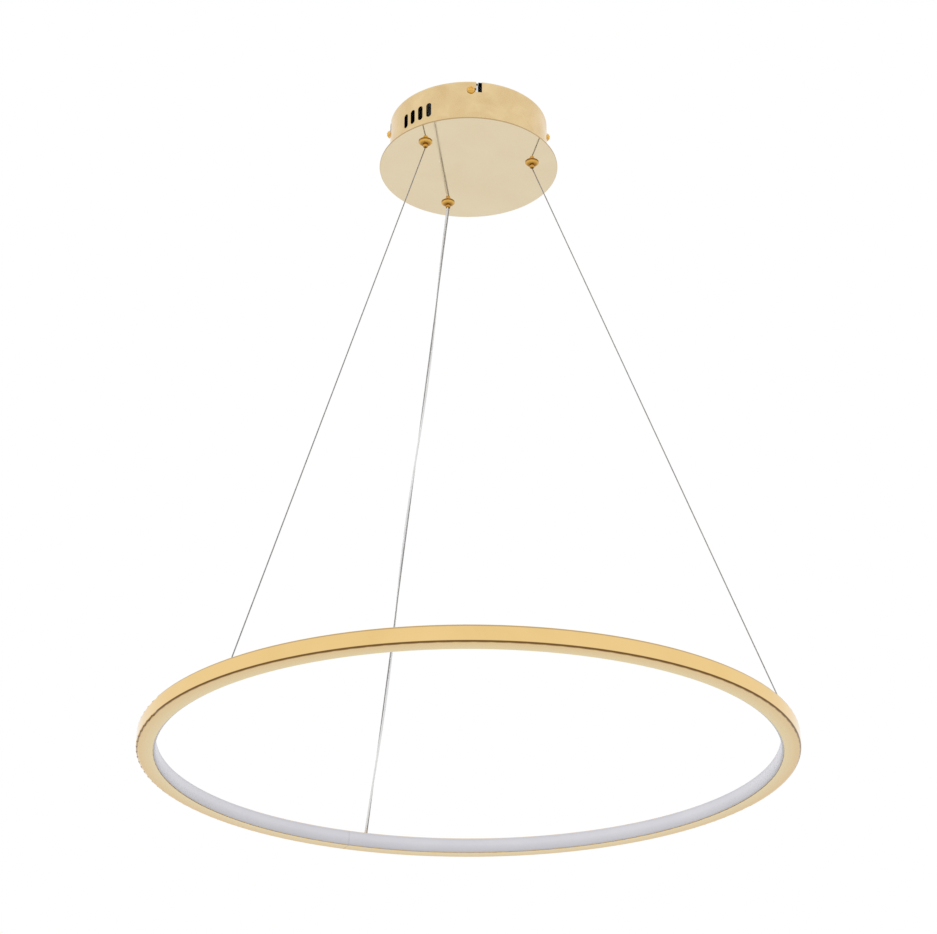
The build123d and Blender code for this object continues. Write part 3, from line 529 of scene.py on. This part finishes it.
def gold_brass():
    """Turned and polished brass of the grippers and screw heads, with painted shade in the grippers' seams.
    """
    material, tree, shader, place = finish("gold_brass", Metallic=1.0)
    patches = use(tree, "soft_patches", {"Vector": place, "Scale": 260.0, "Contrast": 1.2})
    rings = add(tree, "Mapping", {"Vector": place, "Scale": (30.0, 30.0, 5000.0)}).outputs[0]
    lines = use(tree, "polishing_lines", {"Vector": rings, "Unevenness": 0.5})
    colour = blend_colours(tree, patches, (0.86, 0.52, 0.13, 1), (0.76, 0.43, 0.09, 1))
    height = add(tree, "SeparateXYZ", {0: place}).outputs["Z"]
    # painted shade in the seams: under the disc, at the body's foot and at the nose's tip
    seams = ((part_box("canopy_disc")[0].z, 0.0013, 1.0), (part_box("gripper_body_1")[0].z, 0.0013, 0.75),
             (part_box("gripper_nose_1")[0].z, 0.0011, 0.85))
    for seam, reach, depth in seams:
        mask = use(tree, "edge_line", {"Place": height, "Edge": seam, "Width": reach})
        colour = blend_colours(tree, sum_up(tree, "MULTIPLY", mask, depth), colour, SEAM_SHADE)
    rough = sum_up(tree, "MULTIPLY_ADD", lines, 0.04, spread(tree, patches, 0.06, 0.12))
    feed(tree, shader, colour, rough, lines, 0.000002, 0.5)
    return material


def gold_ring():
    """Polished, gold-anodised aluminium, with a painted reflection that makes it paler underneath, and a
    painted dark reflection line on each outer corner.
    """
    material, tree, shader, place = finish("gold_ring", Metallic=1.0)
    around = use(tree, "round_the_axis", {"Vector": place, "Fineness": 2600.0, "Drift": 9.0})
    lines = use(tree, "polishing_lines", {"Vector": around, "Unevenness": 0.6})
    patches = use(tree, "soft_patches", {"Vector": place, "Scale": 16.0, "Contrast": 1.0})
    colour = blend_colours(tree, patches, (0.86, 0.61, 0.27, 1), (0.81, 0.56, 0.23, 1))
    colour = blend_colours(tree, sum_up(tree, "MULTIPLY", lines, 0.08), colour, (0.90, 0.73, 0.40, 1))
    # painted reflection: the underside is made paler, and paler still towards the diffuser
    facing = add(tree, "SeparateXYZ", {0: add(tree, "NewGeometry").outputs["Normal"]}).outputs["Z"]
    under = spread(tree, facing, 1.0, 0.0, -0.95, -0.6)
    low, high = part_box("ring_profile")
    radius = distance(tree, place)
    inward = spread(tree, radius, 1.0, 0.0, high.x - UNDERSIDE_REACH[0], high.x - UNDERSIDE_REACH[1])
    pale = blend_colours(tree, inward, UNDERSIDE_REFLECTION_OUTER, UNDERSIDE_REFLECTION_INNER)
    colour = blend_colours(tree, under, colour, pale)
    height = add(tree, "SeparateXYZ", {0: place}).outputs["Z"]
    outer = spread(tree, radius, 0.0, 1.0, high.x - CORNER_BAND[0], high.x - CORNER_BAND[1])
    # painted dark reflection lines along the ring's outer corners
    lines_at = ((low.z + LOW_EDGE[0], *LOW_EDGE[1:]), (high.z - HIGH_EDGE[0], *HIGH_EDGE[1:]))
    for edge, reach, depth in lines_at:
        mask = use(tree, "edge_line", {"Place": height, "Edge": edge, "Width": reach})
        full = sum_up(tree, "MULTIPLY", spread(tree, mask, 0.0, depth, 0.0, 0.5), outer)
        colour = blend_colours(tree, full, colour, CORNER_DARK_REFLECTION)
    rough = sum_up(tree, "MULTIPLY_ADD", lines, 0.05, spread(tree, patches, 0.05, 0.08))
    feed(tree, shader, dusted(tree, place, colour, 0.25), rough, lines, 0.000004, 0.5)
    return material


def milk_plastic():
    """Milky diffuser: satin skin over a cloudy body, with painted shade along its edges, where the profile's
    lips sit behind it.
    """
    material, tree, shader, place = finish("milk_plastic", IOR=1.49)
    low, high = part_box("diffuser")
    clouds = use(tree, "soft_patches", {"Vector": place, "Scale": 24.0, "Contrast": 0.8})
    colour = blend_colours(tree, clouds, (0.735, 0.73, 0.765, 1), (0.69, 0.685, 0.73, 1))
    height = add(tree, "SeparateXYZ", {0: place}).outputs["Z"]
    # painted shade along the bottom and top edges, where the profile's lips sit behind the diffuser
    for edge, reach, depth in ((low.z, 0.008, 0.45), (high.z, 0.003, 0.3)):
        mask = use(tree, "edge_line", {"Place": height, "Edge": edge, "Width": reach})
        colour = blend_colours(tree, sum_up(tree, "MULTIPLY", mask, depth), colour, (0.36, 0.35, 0.37, 1))
    around = use(tree, "round_the_axis", {"Vector": place, "Fineness": 900.0, "Drift": 7.0})
    drawn = use(tree, "polishing_lines", {"Vector": around, "Unevenness": 0.4})
    rough = sum_up(tree, "MULTIPLY_ADD", drawn, 0.08, spread(tree, clouds, 0.34, 0.44))
    feed(tree, shader, colour, rough, drawn, 0.000004, 0.4)
    return material


def wire_steel():
    """Drawn steel, darker in patches, with painted shade where it faces up."""
    material, tree, shader, place = finish("wire_steel", Metallic=1.0)
    patches = use(tree, "soft_patches", {"Vector": place, "Scale": 420.0, "Contrast": 1.4})
    colour = blend_colours(tree, patches, (0.47, 0.46, 0.445, 1), (0.34, 0.33, 0.32, 1))
    facing = add(tree, "SeparateXYZ", {0: add(tree, "NewGeometry").outputs["Normal"]}).outputs["Z"]
    # painted shade on the side of the wire that faces up
    colour = blend_colours(tree, spread(tree, facing, 0.0, 0.8, 0.15, 0.5), colour, (0.14, 0.12, 0.10, 1))
    feed(tree, shader, colour, spread(tree, patches, 0.24, 0.4), patches, 0.000008, 0.4)
    return material


def pale_core():
    """Cable cores: tinned strands in a thin pale skin, seen through the sheath."""
    material, tree, shader, place = finish("pale_core", IOR=1.5)
    strands = add(tree, "Mapping", {"Vector": place, "Scale": (3200.0, 3200.0, 500.0)}).outputs[0]
    lines = use(tree, "polishing_lines", {"Vector": strands, "Unevenness": 0.6})
    colour = blend_colours(tree, lines, (0.88, 0.875, 0.86, 1), (0.96, 0.96, 0.95, 1))
    feed(tree, shader, colour, spread(tree, lines, 0.5, 0.35), lines, 0.00003, 0.6)
    return material


def clear_sheath():
    """Clear sheath, faintly cloudy."""
    material, tree, shader, place = finish("clear_sheath", Transmission_Weight=0.15, IOR=1.3)
    clouds = use(tree, "soft_patches", {"Vector": place, "Scale": 180.0, "Contrast": 1.0})
    colour = blend_colours(tree, clouds, (0.97, 0.965, 0.96, 1), (0.93, 0.925, 0.92, 1))
    feed(tree, shader, colour, spread(tree, clouds, 0.08, 0.2), clouds, 0.00001, 0.4)
    return material


def zinc_steel():
    """Zinc-plated sheet and fasteners, with spangle, and dark at the plate's outer bend."""
    material, tree, shader, place = finish("zinc_steel", Metallic=1.0)
    cells = add(tree, "TexVoronoi", {"Vector": place, "Scale": 320.0, "Randomness": 1.0})
    tone = add(tree, "SeparateColor", {0: cells.outputs["Color"]}).outputs[0]
    patches = use(tree, "soft_patches", {"Vector": place, "Scale": 45.0, "Contrast": 1.2})
    mixed = sum_up(tree, "MULTIPLY_ADD", tone, 0.4, sum_up(tree, "MULTIPLY", patches, 0.6))
    colour = blend_colours(tree, mixed, (0.60, 0.62, 0.64, 1), (0.80, 0.81, 0.82, 1))
    low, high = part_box("ceiling_plate")
    height = add(tree, "SeparateXYZ", {0: place}).outputs["Z"]
    bend = spread(tree, height, 0.0, 1.0, high.z - PLATE_BEND[0], high.z - PLATE_BEND[1])
    out = distance(tree, place)
    rim = spread(tree, out, 0.0, 1.0, high.x - PLATE_BEND[0], high.x - PLATE_BEND[1])
    colour = blend_colours(tree, sum_up(tree, "MULTIPLY", bend, rim), colour, PLATE_SHADE)
    feed(tree, shader, dusted(tree, place, colour, 0.4), spread(tree, mixed, 0.24, 0.42), tone, 0.000008, 0.4)
    return material


MOULD_GRAIN = 2600.0          # fineness of a moulded skin


def moulded(name, light, dark, rough):
    """A moulded plastic with fine texture and slight flow marks."""
    material, tree, shader, place = finish(name, IOR=1.5)
    flow = use(tree, "soft_patches", {"Vector": place, "Scale": 60.0, "Contrast": 1.0})
    colour = blend_colours(tree, flow, (*light, 1), (*dark, 1))
    texture = add(tree, "TexNoise", {"Vector": place, "Scale": MOULD_GRAIN, "Detail": 2.0}).outputs[0]
    feed(tree, shader, dusted(tree, place, colour, 0.35), spread(tree, flow, rough - 0.06, rough + 0.06),
         texture, 0.00004, 0.4)
    return material


def board_green():
    """Lacquered circuit board with lighter tracks under the lacquer."""
    material, tree, shader, place = finish("board_green", Coat_Weight=0.4, Coat_Roughness=0.15)
    cells = add(tree, "TexVoronoi", {"Vector": place, "Scale": 210.0}, distance="CHEBYCHEV",
                feature="DISTANCE_TO_EDGE").outputs["Distance"]
    tracks = spread(tree, cells, 1.0, 0.0, 0.05, 0.09)
    colour = blend_colours(tree, tracks, (0.03, 0.16, 0.075, 1), (0.09, 0.30, 0.15, 1))
    feed(tree, shader, colour, spread(tree, tracks, 0.45, 0.32), tracks, 0.00003, 0.5)
    return material


def board_white():
    """White-lacquered light board."""
    return moulded("board_white", (0.90, 0.90, 0.89), (0.84, 0.84, 0.83), 0.35)


def chip_yellow():
    """Light chips: a yellow phosphor window in a white frame."""
    material, tree, shader, place = finish("chip_yellow", Coat_Weight=0.6, Coat_Roughness=0.08)
    height = add(tree, "SeparateXYZ", {0: place}).outputs["Z"]
    row = middle("light_chips").z
    window = use(tree, "edge_line", {"Place": height, "Edge": row, "Width": 0.0016})
    window = spread(tree, window, 0.0, 1.0, 0.3, 0.45)
    grain = use(tree, "soft_patches", {"Vector": place, "Scale": 2200.0, "Contrast": 1.0})
    phosphor = blend_colours(tree, grain, (0.90, 0.72, 0.16, 1), (0.82, 0.60, 0.08, 1))
    colour = blend_colours(tree, window, (0.9, 0.9, 0.87, 1), phosphor)
    feed(tree, shader, colour, spread(tree, grain, 0.3, 0.45), grain, 0.00001, 0.4)
    return material


MATERIALS = {
    "gold_mirror": gold_mirror(),
    "gold_wall": gold_wall(),
    "gold_brass": gold_brass(),
    "gold_ring": gold_ring(),
    "milk_plastic": milk_plastic(),
    "wire_steel": wire_steel(),
    "clear_sheath": clear_sheath(),
    "zinc_steel": zinc_steel(),
    "white_plastic": moulded("white_plastic", (0.82, 0.82, 0.80), (0.74, 0.74, 0.72), 0.42),
    "grey_plastic": moulded("grey_plastic", (0.34, 0.35, 0.37), (0.27, 0.28, 0.30), 0.46),
    "core_black": moulded("core_black", (0.045, 0.045, 0.05), (0.025, 0.025, 0.03), 0.4),
    "lead_black": moulded("lead_black", (0.035, 0.035, 0.036), (0.02, 0.02, 0.021), 0.5),
    "board_green": board_green(),
    "board_white": board_white(),
    "chip_yellow": chip_yellow(),
}


def dress_nodes():
    """Gives every carried-over piece the finish of its slot."""
    for part in frame["record"]["subparts"]:
        node = frame["nodes"][part["node"]]
        for holder in node.material_slots:
            holder.material = MATERIALS[part["material_slot"]]


# ---- surroundings: a pale floor and soft light, in plain white ----
LIGHT_LEVEL = 0.86
BLUE_CAST = 1.01
KEY_LAMP = ((-1.6, -1.2, 1.6), 1.8, 14.0)     # place, size and power
FILL_LAMP = ((1.8, 0.6, 1.2), 1.8, 6.0)


def seen_white(tree):
    """1 for a ray from the camera, and for one that polished or clear pieces send out."""
    rays = add(tree, "LightPath").outputs
    mirrored = sum_up(tree, "ADD", rays["Is Glossy Ray"], rays["Is Transmission Ray"])
    return sum_up(tree, "ADD", rays["Is Camera Ray"], mirrored, clamp=True)


def room():
    """White surroundings that light the lamp evenly."""
    world = bpy.data.worlds.new("white_room")
    world.use_nodes = True
    bpy.context.scene.world = world
    tree = world.node_tree
    tree.nodes.clear()
    plain = (LIGHT_LEVEL, LIGHT_LEVEL, LIGHT_LEVEL * BLUE_CAST, 1)
    colour = blend_colours(tree, seen_white(tree), plain, (1, 1, 1, 1))
    background = add(tree, "Background", {"Color": colour})
    output = add(tree, "OutputWorld")
    tree.links.new(background.outputs[0], output.inputs["Surface"])


def lamp(name, place, size, power):
    data = bpy.data.lights.new(name, "AREA")
    data.size = size
    data.energy = power
    light = bpy.data.objects.new(name, data)
    light.visible_glossy = False
    light.location = place
    centre = Vector((0, 0, (cad_box[0].z + cad_box[1].z) / 2))
    light.rotation_euler = (centre - light.location).to_track_quat("-Z", "Y").to_euler()
    bpy.context.scene.collection.objects.link(light)


FLOOR_DROP = 2.5              # room height
FLOOR_SIZE = 40.0
FLOOR_COLOUR = (0.93, 0.93, 0.93, 1)
FLOOR_CLOUD = (0.91, 0.91, 0.91, 1)


def pale_floor():
    material, tree, shader, place = finish("pale_floor")
    clouds = use(tree, "soft_patches", {"Vector": place, "Scale": 0.8, "Contrast": 1.0})
    colour = blend_colours(tree, clouds, FLOOR_COLOUR, FLOOR_CLOUD)
    feed(tree, shader, colour, spread(tree, clouds, 0.85, 0.95))
    bm = bmesh.new()
    bmesh.ops.create_grid(bm, x_segments=4, y_segments=4, size=FLOOR_SIZE / 2,
                          matrix=Matrix.Translation((0, 0, -FLOOR_DROP)))
    mesh = bpy.data.meshes.new("room_floor")
    bm.to_mesh(mesh)
    bm.free()
    mesh.materials.append(material)
    floor = bpy.data.objects.new("room_floor", mesh)
    bpy.context.scene.collection.objects.link(floor)


camera()
for k in range(1, WIRE_COUNT + 1):
    steel_wire(k, MATERIALS["wire_steel"])
    locking_spring(k, MATERIALS["zinc_steel"])
feed_cable(MATERIALS["clear_sheath"], pale_core())
dress_nodes()
room()
pale_floor()
lamp("soft_key", *KEY_LAMP)
lamp("soft_fill", *FILL_LAMP)
bpy.context.scene.view_settings.view_transform = "Standard"
